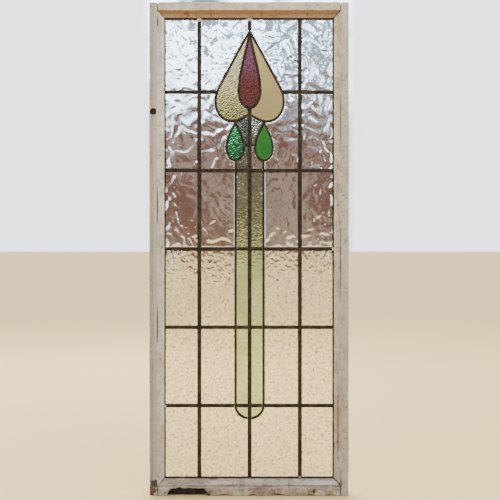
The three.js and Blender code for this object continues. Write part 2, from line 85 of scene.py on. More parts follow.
camera_data = bpy.data.cameras.new("camera")
camera_data.sensor_width = SENSOR
camera_data.lens = SENSOR * CAMERA_DISTANCE / PICTURE_WIDTH
camera_data.clip_end = FARTHEST
camera = bpy.data.objects.new("camera", camera_data)
camera.location = (CAMERA_X, FRONT_Y - CAMERA_DISTANCE, CAMERA_HEIGHT)
camera.rotation_euler = (math.pi / 2, 0, 0)
bpy.context.collection.objects.link(camera)
bpy.context.scene.camera = camera
print("lens:", round(camera_data.lens, 1), "mm")

# %% [markdown]
# Rippled glass shows its relief only where it bends the view of something uneven. So the studio has a
# warm pale floor, which fills the lower three rows, and an uneven soft wall of light above it. All of it
# is drawn with shader nodes, so a few short helpers that add and link nodes come first.


# %% Node helpers
def new_material(name):
    """A material with its Principled shader, and the tree to build on."""
    material = bpy.data.materials.new(name)
    material.use_nodes = True
    return material, material.node_tree, material.node_tree.nodes["Principled BSDF"]


def add(tree, kind, **inputs):
    """Adds a node. Inputs are given by name, with _ for a space, as values or as sockets."""
    node = tree.nodes.new(kind)
    for key, value in inputs.items():
        put(tree, node.inputs[key.replace("_", " ")], value)
    return node


def put(tree, socket, value):
    """Sets a socket to a value, or links it to another socket."""
    if isinstance(value, bpy.types.NodeSocket):
        tree.links.new(value, socket)
    else:
        socket.default_value = value


def math_node(tree, operation, first, second=0.0):
    """One sum on two numbers or sockets."""
    node = tree.nodes.new("ShaderNodeMath")
    node.operation = operation
    put(tree, node.inputs[0], first)
    put(tree, node.inputs[1], second)
    return node.outputs[0]


def vector_node(tree, operation, first, second=(0.0, 0.0, 0.0)):
    """One sum on two vectors. A length comes out as a number, anything else as a vector."""
    node = tree.nodes.new("ShaderNodeVectorMath")
    node.operation = operation
    put(tree, node.inputs[0], first)
    put(tree, node.inputs[1], second)
    return node.outputs["Value" if operation == "LENGTH" else "Vector"]


# %% [markdown]
# The next helpers spread a value, mix colours, make noise and give it its place, and one wires the
# outcome to a shader. The last two make and use a node group, so that materials can share one effect.


# %% Texture and group helpers
def ramp(tree, value, low, high, start=0.0, end=1.0):
    """Goes smoothly from start to end while value goes from low to high."""
    node = tree.nodes.new("ShaderNodeMapRange")
    node.interpolation_type = "SMOOTHSTEP"
    for key, number in (("Value", value), ("From Min", low), ("From Max", high),
                        ("To Min", start), ("To Max", end)):
        put(tree, node.inputs[key], number)
    return node.outputs["Result"]


def blend(tree, factor, first, second, mode="MIX"):
    """Mixes two colours."""
    node = tree.nodes.new("ShaderNodeMix")
    node.data_type = "RGBA"
    node.blend_type = mode
    put(tree, node.inputs["Factor"], factor)
    for socket, colour in ((node.inputs[6], first), (node.inputs[7], second)):
        put(tree, socket, colour if isinstance(colour, bpy.types.NodeSocket) else (*colour, 1.0))
    return node.outputs[2]


def noise(tree, place, scale, detail, roughness=0.55):
    """Fractal noise, scale in waves a metre."""
    node = add(tree, "ShaderNodeTexNoise", Vector=place, Scale=scale, Detail=detail, Roughness=roughness)
    return node.outputs["Fac"]


def object_place(tree):
    """The coordinates that stay with the object, in metres."""
    return tree.nodes.new("ShaderNodeTexCoord").outputs["Object"]


def dress(tree, shader, colour, roughness, height=None, strength=0.0, depth=0.0):
    """Gives a shader its colour and roughness, and a bump where there is a height."""
    put(tree, shader.inputs["Base Color"], colour)
    put(tree, shader.inputs["Roughness"], roughness)
    if height is not None:
        bump = add(tree, "ShaderNodeBump", Strength=strength, Distance=depth, Height=height)
        put(tree, shader.inputs["Normal"], bump.outputs["Normal"])


def new_group(name, inputs, outputs):
    """A shader node group with named sockets. Gives the tree, its inputs and its output node."""
    tree = bpy.data.node_groups.new(name, "ShaderNodeTree")
    for key, kind, value in inputs:
        socket = tree.interface.new_socket(key, in_out="INPUT", socket_type="NodeSocket" + kind)
        if value is not None:
            socket.default_value = value
    for key, kind in outputs:
        tree.interface.new_socket(key, in_out="OUTPUT", socket_type="NodeSocket" + kind)
    entry = tree.nodes.new("NodeGroupInput")
    return tree, entry.outputs, tree.nodes.new("NodeGroupOutput").inputs


def use_group(tree, name, **inputs):
    """Places a group in a tree with its own values. Gives the group's outputs."""
    node = tree.nodes.new("ShaderNodeGroup")
    node.node_tree = bpy.data.node_groups[name]
    for key, value in inputs.items():
        put(tree, node.inputs[key.replace("_", " ")], value)
    return node.outputs


# %% [markdown]
# A world shader can carry the whole studio. Colour is chosen by direction: the direction's height
# sorts sky from ground, and its side says whether it lies behind the glass. The wall behind the glass
# is uneven on purpose, brown and mauve low down and clouded higher up, because an even wall would make
# the ripple vanish. It is no wider than the frame, so it never shows beside it.

# %% Light from all around
SKY_WHITE = (0.92, 0.98, 1.02)
SKY_BLUE = (0.16, 0.215, 0.27)
OVERHEAD = (1.7, 1.75, 1.8)
BAND_MAUVE = (0.150, 0.104, 0.079)
BAND_BROWN = (0.060, 0.018, 0.004)
CLOUD_WHITE = (1.8, 2.3, 2.9)
GROUND = (0.95, 0.68, 0.36)
WALL_SIDE = (0.099, 0.1135)
BLUE_HEIGHT = (0.14, 0.205)
CLOUD_HEIGHT = (0.12, 0.20)
OVERHEAD_HEIGHT = (0.27, 0.34)
STRENGTH_BEHIND = 0.85
STRENGTH_AHEAD = 2.7
MOTTLE_NOISE = (17.0, 4.0, 0.6)
CLOUD_NOISE = (22.0, 2.5, 0.5)

world = bpy.data.worlds.new("studio")
bpy.context.scene.world = world
world.use_nodes = True
sky = world.node_tree
direction = sky.nodes.new("ShaderNodeTexCoord").outputs["Generated"]
way = add(sky, "ShaderNodeSeparateXYZ", Vector=direction)
side, ahead, height = way.outputs
in_front = ramp(sky, ahead, 0.0, 0.6)
near_middle = ramp(sky, math_node(sky, "ABSOLUTE", side), *WALL_SIDE, 1.0, 0.0)
behind_glass = math_node(sky, "MULTIPLY", in_front, near_middle)
mottled = ramp(sky, noise(sky, direction, *MOTTLE_NOISE), 0.40, 0.62)
wall = blend(sky, mottled, BAND_BROWN, BAND_MAUVE)
wall = blend(sky, ramp(sky, height, *BLUE_HEIGHT), wall, SKY_BLUE)
cloud = ramp(sky, noise(sky, direction, *CLOUD_NOISE), 0.41, 0.60)
cloud = math_node(sky, "MULTIPLY", cloud, ramp(sky, height, *CLOUD_HEIGHT))
wall = blend(sky, cloud, wall, CLOUD_WHITE)
wall = blend(sky, ramp(sky, height, *OVERHEAD_HEIGHT), wall, OVERHEAD)
upper = blend(sky, behind_glass, SKY_WHITE, wall)
everywhere = blend(sky, ramp(sky, height, -0.004, 0.0), GROUND, upper)
background = sky.nodes["Background"]
put(sky, background.inputs["Color"], everywhere)
put(sky, background.inputs["Strength"], ramp(sky, ahead, -0.1, 0.5, STRENGTH_BEHIND, STRENGTH_AHEAD))
print("world nodes:", len(sky.nodes))

# %% [markdown]
# The floor is one large plain card, far wider than any view, so that its edge lies at the horizon.

# %% Floor
FLOOR_REACH = 300.0
FLOOR_TINT = (0.98, 0.70, 0.30, 1)
floor_data = bpy.data.meshes.new("floor")
corners = [(x * FLOOR_REACH, y * FLOOR_REACH, 0) for x, y in ((-1, -1), (1, -1), (1, 1), (-1, 1))]
floor_data.from_pydata(corners, [], [(0, 1, 2, 3)])
floor = bpy.data.objects.new("floor", floor_data)
bpy.context.collection.objects.link(floor)
floor_paint, tree, shader = new_material("floor_card")
dress(tree, shader, FLOOR_TINT, 0.9)
floor_data.materials.append(floor_paint)
print("floor:", 2 * FLOOR_REACH, "m wide")

# %% [markdown]
# Three square softboxes light the frame: a key from the right and above, a weak fill from the left,
# and one behind that brightens the floor which the lower panes look onto.


# %% Soft lights
def soft_light(name, place, aim, width, power, colour):
    """A square softbox at a place, turned to face a point."""
    data = bpy.data.lights.new(name, "AREA")
    data.size = width
    data.energy = power
    data.color = colour
    lamp = bpy.data.objects.new(name, data)
    lamp.location = place
    lamp.rotation_euler = (Vector(aim) - Vector(place)).to_track_quat("-Z", "Y").to_euler()
    bpy.context.collection.objects.link(lamp)


MIDDLE = (0, 0, 0.6)
soft_light("key_light", (1.1, -2.2, 2.6), MIDDLE, 1.2, 42, (1.0, 0.98, 0.96))
soft_light("fill_light", (-1.8, -1.8, 1.3), MIDDLE, 1.6, 14, (0.97, 0.98, 1.0))
soft_light("back_light", (-0.9, 2.4, 2.4), (0, 1.4, 0), 1.4, 75, (1.0, 0.97, 0.92))
print("lights:", len(bpy.data.lights))


# %% [markdown]
# ## Reading an outline
# Each pane and each came is a flat piece with a known outline. The outline is read from the front of
# its solid: every edge there that only one front triangle uses is a rim edge, and the rim edges chain
# into closed loops. The loop is then walked in short even steps, so that the new mesh can be fine.


# %% Outline helpers
MICRON = 1e-6
FLAT_WITHIN = 1e-5


def cap_loops(node, depth):
    """The closed outlines, in x and z, of the node's flat face at one depth."""
    mesh = node.data
    place = np.empty(len(mesh.vertices) * 3)
    mesh.vertices.foreach_get("co", place)
    place = place.reshape(-1, 3)
    keys = [tuple(np.round(p / MICRON).astype(int)) for p in place]
    uses = {}
    for polygon in mesh.polygons:
        ring = [keys[i] for i in polygon.vertices]
        if all(abs(place[i][1] - depth) < FLAT_WITHIN for i in polygon.vertices):
            for a, b in zip(ring, ring[1:] + ring[:1]):
                if a != b:
                    uses[(a, b)] = uses.get((a, b), 0) + 1
    rim = {}
    for (a, b) in uses:
        if (b, a) not in uses:
            rim.setdefault(a, []).append(b)
    loops = []
    while rim:
        start = next(iter(rim))
        loop = [start]
        while True:
            following = rim[loop[-1]]
            step = following.pop()
            if not following:
                del rim[loop[-1]]
            if step == start:
                break
            loop.append(step)
        loops.append(np.array([(p[0] * MICRON, p[2] * MICRON) for p in loop]))
    return loops


def even_steps(loop, step):
    """Walks a closed loop in steps of about one length, and keeps its corners."""
    points = []
    for a, b in zip(loop, np.roll(loop, -1, axis=0)):
        count = max(1, round(np.linalg.norm(b - a) / step))
        points += [a + (b - a) * i / count for i in range(count)]
    return np.array(points)


# %% [markdown]
# Points are set out in even rows inside the outline, a little clear of the rim, and all of them are
# joined to triangles. Points near the rim need to know how near, so that relief can fade out there.


# %% Filling an outline
ROW_SPACING = 0.87
OFF_RIM = 0.6
MERGE_WITHIN = 1e-7
WITHIN_RIMS = 1


def rim_distance(points, loops, reach):
    """The distance from each point to the nearest rim, up to reach."""
    finest = reach / 8
    rim_points = np.vstack([even_steps(loop, finest) for loop in loops])
    index = KDTree(len(rim_points))
    for i, point in enumerate(rim_points):
        index.insert((point[0], point[1], 0), i)
    index.balance()
    return np.array([min(reach, index.find((p[0], p[1], 0))[2]) for p in points])


def inside(points, loops):
    """Whether each point lies within the outlines, by counting the edges that a ray crosses."""
    within = np.zeros(len(points), dtype=bool)
    for loop in loops:
        for (ax, az), (bx, bz) in zip(loop, np.roll(loop, -1, axis=0)):
            if az != bz:
                spans = (az > points[:, 1]) != (bz > points[:, 1])
                within ^= spans & (points[:, 0] < ax + (points[:, 1] - az) * (bx - ax) / (bz - az))
    return within


def fill(loops, step):
    """Fills outlines with an even triangle mesh, and leaves holes open."""
    rims = [even_steps(loop, step) for loop in loops]
    rim = np.vstack(rims)
    low = rim.min(axis=0)
    high = rim.max(axis=0)
    rows = np.arange(low[1] + step / 2, high[1], step * ROW_SPACING)
    inner = []
    for k, z in enumerate(rows):
        xs = np.arange(low[0] + step * (0.5 if k % 2 else 1.0), high[0], step)
        inner.append(np.column_stack([xs, np.full(len(xs), z)]))
    inner = np.vstack(inner)
    inner = inner[inside(inner, loops)]
    inner = inner[rim_distance(inner, loops, step) > step * OFF_RIM]
    edges = []
    start = 0
    for ring in rims:
        count = len(ring)
        edges += [(start + i, start + (i + 1) % count) for i in range(count)]
        start += count
    points = [Vector(p) for p in np.vstack([rim, inner])]
    joined = delaunay_2d_cdt(points, edges, [], WITHIN_RIMS, MERGE_WITHIN)
    flat = np.array([(p.x, p.y) for p in joined[0]])
    triangles = np.array([tuple(f) for f in joined[2]])
    kept = inside(flat[triangles].mean(axis=1), loops)
    return flat, [tuple(f) for f in triangles[kept]]


def rim_edges(faces):
    """The edges that only one triangle uses, in the direction in which it uses them."""
    used = {(f[i], f[(i + 1) % 3]) for f in faces for i in range(3)}
    return [(a, b) for a, b in used if (b, a) not in used]


# %% [markdown]
# Every piece of the window is then made in one way: it moves with the one body and says which solid it
# stands for. Marks of age stand for no solid.


# %% Making a piece
PIECES = []


def build_piece(name, points, faces, material, replaces, flat_from=None):
    """Makes a mesh object that stands for the solids it replaces."""
    data = bpy.data.meshes.new(name)
    data.from_pydata([tuple(p) for p in points], [], faces)
    data.materials.append(material)
    smooth = np.ones(len(faces), dtype=bool)
    if flat_from is not None:
        smooth[flat_from:] = False
    data.polygons.foreach_set("use_smooth", smooth)
    data.update()
    piece = bpy.data.objects.new(name, data)
    bpy.context.collection.objects.link(piece)
    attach(piece, "root")
    if replaces:
        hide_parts(*replaces)
    PIECES.append(piece)
    return piece


def triangle_count(pieces):
    """How many triangles the pieces have together."""
    return sum(len(face.vertices) - 2 for piece in pieces for face in piece.data.polygons)


# %% [markdown]
# ## Rippled glass
# Old textured glass was rolled while soft. Its ripple is a smooth random relief: a sum of many waves
# of about one length that run in all directions. The clear panes of the three upper rows have a long,
# strong ripple, those of the lower rows a fine weak one, and the coloured panes are hammered with small
# dimples. The relief only cuts into the sheet, so no pane is thicker than it was measured.


# %% Waves
SWELL_SHARES = (0.92, 0.08)
DIMPLE_EDGE = 1.3


def wave_field(points, seed, length, spread=0.35, stretch=(1.0, 1.0, 1.0), count=48):
    """A smooth random relief from 0 to 1 at each point, with waves of about one length."""
    random = np.random.default_rng(seed)
    angle = random.uniform(0, 2 * math.pi, count)
    size = length * np.exp(random.normal(0, spread, count))
    phase = random.uniform(0, 2 * math.pi, count)
    tilt = random.uniform(-1, 1, count) if points.shape[1] == 3 else np.zeros(count)
    level = np.sqrt(1 - tilt ** 2)
    ways = np.column_stack([level * np.cos(angle), level * np.sin(angle), tilt])[:, :points.shape[1]]
    ways = 2 * math.pi * ways / size[:, None] / np.array(stretch)[:points.shape[1]]
    total = np.zeros(len(points))
    for each, start in zip(ways, phase):
        total += np.sin(points @ each + start)
    total /= math.sqrt(count / 2)
    return 0.5 + 0.5 * np.tanh(total * 0.8)


def warped(points, seed, length, amount):
    """Moves the points about a little, so that the waves aren't even."""
    shift = [wave_field(points, seed + k, length, count=16) - 0.5 for k in (0, 1)]
    return points + amount * np.column_stack(shift)


def reamy(points, seed, length, ridged):
    """The flowing ripple of rolled window glass: soft swells, with a share of sharper ridges."""
    bent = warped(points, seed + 50, length * 2.0, length * 0.45)
    ridge = 1 - np.abs(2 * wave_field(bent, seed, length, spread=0.2) - 1)
    broad = wave_field(bent, seed + 9, length * 0.9)
    fine = wave_field(bent, seed + 11, length * 0.35)
    swell = SWELL_SHARES[0] * broad + SWELL_SHARES[1] * fine
    return ridged * ridge + (1 - ridged) * swell


def hammered(points, seed, length):
    """Small round dimples side by side."""
    bent = warped(points, seed + 70, length * 2, length * 0.5)
    return wave_field(bent, seed, length, spread=0.15) ** DIMPLE_EDGE


# %% [markdown]
# A pane is one outline filled twice, front and back, with walls between the two rims. The relief fades
# to nothing at the rim, where the lead grips the sheet.


# %% A sheet with relief
PANE_FRONT = -0.8 * MM
PANE_BACK = 2.8 * MM
RIM = 2.0 * MM


def make_pane(node_name, material, slot, step, relief_front, relief_back, depths):
    """Replaces a flat pane by one with relief on both faces."""
    node = NODES[node_name]
    loops = cap_loops(node, PANE_FRONT)
    flat, faces = fill(loops, step)
    near = rim_distance(flat, loops, RIM) / RIM
    cut_front = relief_front(flat) * depths[0] * near
    cut_back = relief_back(flat) * depths[1] * near
    count = len(flat)
    front = np.column_stack([flat[:, 0], PANE_FRONT + cut_front, flat[:, 1]])
    back = np.column_stack([flat[:, 0], PANE_BACK - cut_back, flat[:, 1]])
    both = faces + [tuple(i + count for i in reversed(f)) for f in faces]
    walls = [(b, a, a + count, b + count) for a, b in rim_edges(faces)]
    name = "glass_" + node_name
    return build_piece(name, np.vstack([front, back]), both + walls, material, [node_name],
                       flat_from=len(both))


# %% [markdown]
# Glass gets its colour from what passes through it, so each glass is fully see-through and only its
# tint, its roughness and a fine grain in its surface change from place to place. Small flecks and a
# seedy skin are found in nearly all of them, so both are node groups that every glass uses. In the
# left amber and the teal drop the flecks are light: painted highlights for glints off the dimples.

# %% Groups for the flaws in glass
# Speckles: dark flaws in most glasses, and painted highlights in the left amber and the teal.
marks, given, result = new_group(
    "fleck_and_glint_marks",
    [("Place", "Vector", None), ("Waves", "Float", 150.0), ("Rarity", "Float", 0.60)],
    [("Mask", "Float")])
edge = math_node(marks, "ADD", given["Rarity"], 0.05)
speckle = noise(marks, given["Place"], given["Waves"], 2.0)
put(marks, result["Mask"], ramp(marks, speckle, given["Rarity"], edge))

surface, given, result = new_group(
    "glass_skin",
    [("Place", "Vector", None), ("Polish", "Float", 0.03)],
    [("Roughness", "Float"), ("Height", "Float")])
speck = ramp(surface, noise(surface, given["Place"], 900.0, 1.0), 0.70, 0.80, 0.0, 0.2)
put(surface, result["Roughness"], math_node(surface, "ADD", speck, given["Polish"]))
put(surface, result["Height"], noise(surface, given["Place"], 320.0, 2.0))
print("groups:", sorted(group.name for group in bpy.data.node_groups))

# %% [markdown]
# The clear panes are nearly colourless. The coloured ones take their tint in the full depth of the
# sheet, so the numbers look darker than the glass does in the light. Two ambers, a petal that goes from
# ruby to purple, two greens, and the pale greens of stem and calyx are set side by side here.

# %% Glass materials
# Painted shade: dark vein lines that stand in for the shaded contours of a fine ripple.
RIPPLE_SHADE_TINT = (0.55, 0.44, 0.30)


def glass(name, tint, second, variation, polish=0.03, grain=0.15, split=None, flecks_and_glints=(), ripple_shade=0.0):
    """Clear or coloured glass. The tint drifts to a second one, under veins of painted shade and flecks, some
    of them painted highlights.
    """
    material, tree, shader = new_material(name)
    place = object_place(tree)
    drift = ramp(tree, noise(tree, place, variation, 2.0), 0.35, 0.65)
    if split is not None:
        height = add(tree, "ShaderNodeSeparateXYZ", Vector=place).outputs["Z"]
        drift = ramp(tree, height, split[0], split[1])
    colour = blend(tree, drift, tint, second)
    # Thin dark lines of painted shade where the noise crosses its middle.
    if ripple_shade > 0:
        ripple_line = math_node(tree, "SUBTRACT", noise(tree, place, 60.0, 3.0, 0.6), 0.5)
        ripple_line = math_node(tree, "ABSOLUTE", ripple_line)
        colour = blend(tree, ramp(tree, ripple_line, 0.0, 0.07, ripple_shade, 0.0), colour, RIPPLE_SHADE_TINT)
    for waves, rarity, fleck_and_glint_tint in flecks_and_glints:
        mark = use_group(tree, "fleck_and_glint_marks", Place=place, Waves=waves, Rarity=rarity)["Mask"]
        colour = blend(tree, mark, colour, fleck_and_glint_tint)
    skin = use_group(tree, "glass_skin", Place=place, Polish=polish)
    dress(tree, shader, colour, skin["Roughness"], skin["Height"], grain, 0.0004)
    shader.inputs["Metallic"].default_value = 0.0
    shader.inputs["Transmission Weight"].default_value = 1.0
    shader.inputs["IOR"].default_value = 1.5
    return material


CLEAR = glass("clear_rippled_glass", (0.97, 0.975, 0.97), (0.91, 0.91, 0.89), 12.0)
# The fine glass's mottled tint and dark veins are painted shade for the way its fine ripple bends the light.
FINE = glass("clear_fine_glass", (0.99, 0.955, 0.90), (0.83, 0.75, 0.65), 150.0, grain=0.35, ripple_shade=0.34,
             flecks_and_glints=((150.0, 0.60, (0.36, 0.31, 0.22)), (110.0, 0.63, (0.70, 0.47, 0.34))))
# Its light flecks are painted highlights, glints off the dimples.
AMBER_L = glass("amber_glass_left", (0.26, 0.205, 0.058), (0.40, 0.275, 0.115), 26.0,
                split=(0.92, 1.02), grain=0.5, flecks_and_glints=((260.0, 0.62, (0.72, 0.62, 0.38)),))
AMBER_R = glass("amber_glass_right", (0.31, 0.21, 0.07), (0.345, 0.23, 0.07), 14.0, polish=0.35, grain=0.0)
PETAL = glass("petal_glass", (0.068, 0.0075, 0.0042), (0.086, 0.021, 0.034), 10.0,
              split=(0.985, 1.06), grain=0.5, flecks_and_glints=((300.0, 0.60, (0.26, 0.05, 0.03)),))
# Its light flecks are painted highlights, glints off the dimples.
TEAL = glass("teal_glass", (0.017, 0.34, 0.072), (0.034, 0.44, 0.115), 60.0,
             grain=0.5, flecks_and_glints=((420.0, 0.62, (0.07, 0.50, 0.20)),))
GREEN = glass("green_glass", (0.005, 0.15, 0.005), (0.007, 0.18, 0.008), 30.0, polish=0.3, grain=0.0)
CELADON = glass("celadon_glass", (0.54, 0.66, 0.45), (0.40, 0.52, 0.33), 16.0,
                flecks_and_glints=((150.0, 0.60, (0.32, 0.34, 0.15)),))
CALYX_FLECKS = ((200.0, 0.60, (0.10, 0.12, 0.07)),)
CALYX_TINTS = {
    "upper_left": ((0.19, 0.23, 0.16), (0.11, 0.13, 0.085)),
    "upper_right": ((0.52, 0.57, 0.40), (0.38, 0.43, 0.29)),
    "lower_left": ((0.46, 0.56, 0.38), (0.30, 0.38, 0.24)),
    "lower_right": ((0.93, 1.00, 0.82), (0.70, 0.80, 0.58)),
}
CALYX = {place: glass("calyx_glass_" + place, tint, second, 40.0, flecks_and_glints=CALYX_FLECKS)
         for place, (tint, second) in CALYX_TINTS.items()}
GLASSES = (CLEAR, FINE, AMBER_L, AMBER_R, PETAL, TEAL, GREEN, CELADON, *CALYX.values())
print("glass materials:", len(GLASSES))

# %% [markdown]
# Each pane now gets its glass and its relief by its name. The outer panes ripple a little more than
# the inner ones. A smooth pane needs fewer points than a hammered one, so it is stepped more coarsely.
# The table holds the coloured panes: name, glass, slot, step, kind of relief, and how deep it goes on
# the front and the back, in mm. A name takes the first row that it starts with.

# %% Pane styles
CLEAR_STEP = 2.6 * MM
COLOUR_STEP = 1.3 * MM
STEM_STEP = 1.6 * MM
ROW_RIPPLE = {1: (40, 1.05), 2: (36, 0.75), 3: (30, 0.46), 4: (17, 0.45), 5: (11, 0.26), 6: (12, 0.36)}
CLEAR_DEPTHS = (1.5, 0.6)
OUTER_GAIN = 1.05
RIDGED = 0.35
CALM = 0.12
DIMPLE = 4.6 * MM
STREAK = 4.0 * MM
STREAK_STRETCH = (1.0, 1.8)
SWELL = 9 * MM
COLOURED = (
    ("amber_pane_left", AMBER_L, "amber_glass", COLOUR_STEP, "dimple", (0.65, 0.3)),
    ("amber_pane_right", AMBER_R, "amber_glass", CLEAR_STEP, "soft", (0.05, 0.03)),
    ("petal_pane", PETAL, "petal_glass", COLOUR_STEP, "streak", (0.6, 0.2)),
    ("drop_pane_left", TEAL, "teal_glass", COLOUR_STEP, "dimple", (0.5, 0.2)),
    ("drop_pane_right", GREEN, "green_glass", CLEAR_STEP, "soft", (0.06, 0.04)),
    ("stem_pane_row3", CELADON, "celadon_glass", STEM_STEP, "dimple", (0.6, 0.3)),
    ("stem_pane", CELADON, "celadon_glass", STEM_STEP, "dimple", (0.25, 0.125)),
    *(("calyx_pane_" + place, CALYX[place], "calyx_glass", COLOUR_STEP, "dimple", (0.4, 0.2))
      for place in CALYX),
)


def clear_style(name, seed):
    """The material, slot, step, reliefs and depths of one clear pane."""
    row = int(name[len("pane_row")])
    outer = "outer" in name
    length, strength = ROW_RIPPLE[row]
    strength *= OUTER_GAIN if outer else 1.0
    ridged = RIDGED if outer or row == 1 else CALM
    front = lambda p: reamy(p, seed, length * MM, ridged)
    back = lambda p: wave_field(p, seed + 3, length * 1.3 * MM)
    depths = [depth * strength * MM for depth in CLEAR_DEPTHS]
    return (CLEAR if row < 4 else FINE), "clear_glass", CLEAR_STEP, front, back, depths


def coloured_style(name, seed):
    """The same of one coloured pane, from the table."""
    _, material, slot, step, kind, depths = next(row for row in COLOURED if name.startswith(row[0]))
    soft = lambda p: wave_field(p, seed + 3, SWELL)
    fronts = {
        "dimple": lambda p: hammered(p, seed, DIMPLE),
        "streak": lambda p: hammered(p / np.array(STREAK_STRETCH), seed, STREAK),
        "soft": soft,
    }
    return material, slot, step, fronts[kind], soft, [depth * MM for depth in depths]


# %% Make every pane
pane_names = sorted(n for n in NODES if "pane" in n)
panes = []
for number, name in enumerate(pane_names):
    style = clear_style if name.startswith("pane_row") else coloured_style
    panes.append(make_pane(name, *style(name, number * 13 + 5)))
print("panes:", len(panes), "triangles:", triangle_count(panes))

# %% [markdown]
# ## Lead cames
# A came is a strip of lead with an H section. Its two leaves hold the glass, and where cames meet they
# are soldered. The leaf's face is crowned: it rises quickly from its thin edge and is nearly flat in
# the middle. The height at each point follows from its distance to the leaf's edge, so straight cames,
# bent ones and joints all come out of one rule. Solder stands a little proud of every joint, and the
# soft metal is never quite straight or smooth. The joints are listed first, in mm. The pattern's own
# middle lies a little to the right of the frame's, and both are mirrored about theirs.

# %% Where cames meet
PATTERN_X = 1.2
UPRIGHT_X = 122
STEM_X = 34
DROP_X = 35
BUD_X = 80
ROWS = (974.4, 784.4, 594.4, 404.4, 214.4)
DROP_Z = (901, 809)
BORDER_X = 203
BORDER_Z = (43, 1149)
CORNERS = ((210, 36), (210, 1156))
HEART_Z = (1149, 1120, 935, 920, 845, *ROWS[1:], 183, 43)
CORNER = 10.0
WIDE = 7.5
MIDDLING = 6.0
NARROW = 5.5
SMALL = 4.5

in_pattern = [(UPRIGHT_X, z, WIDE) for z in (*ROWS, *BORDER_Z)]
in_pattern += [(STEM_X, z, NARROW) for z in ROWS[2:]]
in_pattern += [(DROP_X, z, SMALL) for z in DROP_Z]
in_pattern += [(STEM_X, ROWS[1], MIDDLING), (BUD_X, ROWS[0], MIDDLING)]
in_border = [(BORDER_X, z, WIDE) for z in ROWS] + [(x, z, CORNER) for x, z in CORNERS]
joints = [(PATTERN_X, z, MIDDLING) for z in HEART_Z]
for side in (-1, 1):
    joints += [(PATTERN_X + side * x, z, size) for x, z, size in in_pattern]
    joints += [(side * x, z, size) for x, z, size in in_border]
JOINTS = np.array(joints) * MM
print("soldered joints:", len(JOINTS))


# %% [markdown]
# A came is made from its outline as a pane is, once for each leaf. Its edge drops straight to the glass,
# and the heart between the leaves is copied from the solid as it is.


# %% A came with solder
LEAD_FRONT = -2.7 * MM
LEAD_BACK = 4.7 * MM
CHANNEL_FRONT = -1.2 * MM
CHANNEL_BACK = 3.2 * MM
LEAVES = ((LEAD_FRONT, CHANNEL_FRONT, 1.15 * MM), (LEAD_BACK, CHANNEL_BACK, 2.0 * MM))
LEAF_EDGE = 0.4 * MM
THINNEST = 0.2 * MM
CROWN = 0.62 * MM
CROWN_REACH = 4 * MM
CROWN_ROUND = 1.4 * MM
SOLDER_RISE = 0.42 * MM
SOLDER_FADE = 1.2 * MM
SOLDER_WANDER = (9 * MM, 5 * MM)
DENT = 0.10 * MM
DENT_LENGTHS = (13 * MM, 5 * MM)
SWAY = 0.7 * MM
SWAY_LENGTH = 160 * MM


def solder(points, seed):
    """How far solder stands above the came at each point, from 0 to 1."""
    bent = warped(points, seed, *SOLDER_WANDER)
    best = np.zeros(len(points))
    for x, z, size in JOINTS:
        near = np.hypot(bent[:, 0] - x, bent[:, 1] - z) / size
        best = np.maximum(best, np.exp(-near ** 4))
    return best


def make_lead(node_name, seed, material):
    """Replaces a lead node: crowned leaves on both sides, and the solid's own heart between them."""
    node = NODES[node_name]
    points = []
    faces = []
    for depth, channel, step in LEAVES:
        outward = math.copysign(1, depth - channel)
        loops = cap_loops(node, depth)
        flat, triangles = fill(loops, step)
        distance = rim_distance(flat, loops, CROWN_REACH)
        height = LEAF_EDGE + CROWN * (1 - np.exp(-(distance / CROWN_ROUND) ** 1.2))
        height += SOLDER_RISE * solder(flat, seed) * np.minimum(1, distance / SOLDER_FADE)
        broad, small = [wave_field(flat, seed + 31 + k, DENT_LENGTHS[k]) - 0.5 for k in (0, 1)]
        height += DENT * (broad + 0.5 * small)
        height = np.clip(height, THINNEST, abs(depth - channel))
        sway = np.column_stack([wave_field(flat, 400 + k, SWAY_LENGTH) - 0.5 for k in (0, 1)])
        seat = flat + SWAY * sway
        start = len(points)
        points += list(np.column_stack([seat[:, 0], channel + outward * height, seat[:, 1]]))
        order = (0, 1, 2) if outward < 0 else (2, 1, 0)
        leaf = [tuple(start + f[i] for i in order) for f in triangles]
        faces += leaf
        foot = {}
        for a, b in rim_edges(leaf):
            for v in (a, b):
                if v not in foot:
                    foot[v] = len(points)
                    points.append(np.array([points[v][0], channel, points[v][2]]))
            faces.append((b, a, foot[a], foot[b]))
    mesh = node.data
    start = len(points)
    points += [np.array(v.co) for v in mesh.vertices]
    for polygon in mesh.polygons:
        depths = [mesh.vertices[i].co.y for i in polygon.vertices]
        if min(depths) > CHANNEL_FRONT - FLAT_WITHIN and max(depths) < CHANNEL_BACK + FLAT_WITHIN:
            faces.append(tuple(start + i for i in polygon.vertices))
    return build_piece("came_" + node_name, points, faces, material, [node_name])


# %% [markdown]
# Old lead is brown black, not grey. Handling keeps the crown of the came a little lighter and smoother,
# and a pale dusty bloom of oxide and old cement lies in patches.

# %% Lead patina group
BLOOM_TINT = (0.20, 0.16, 0.12)

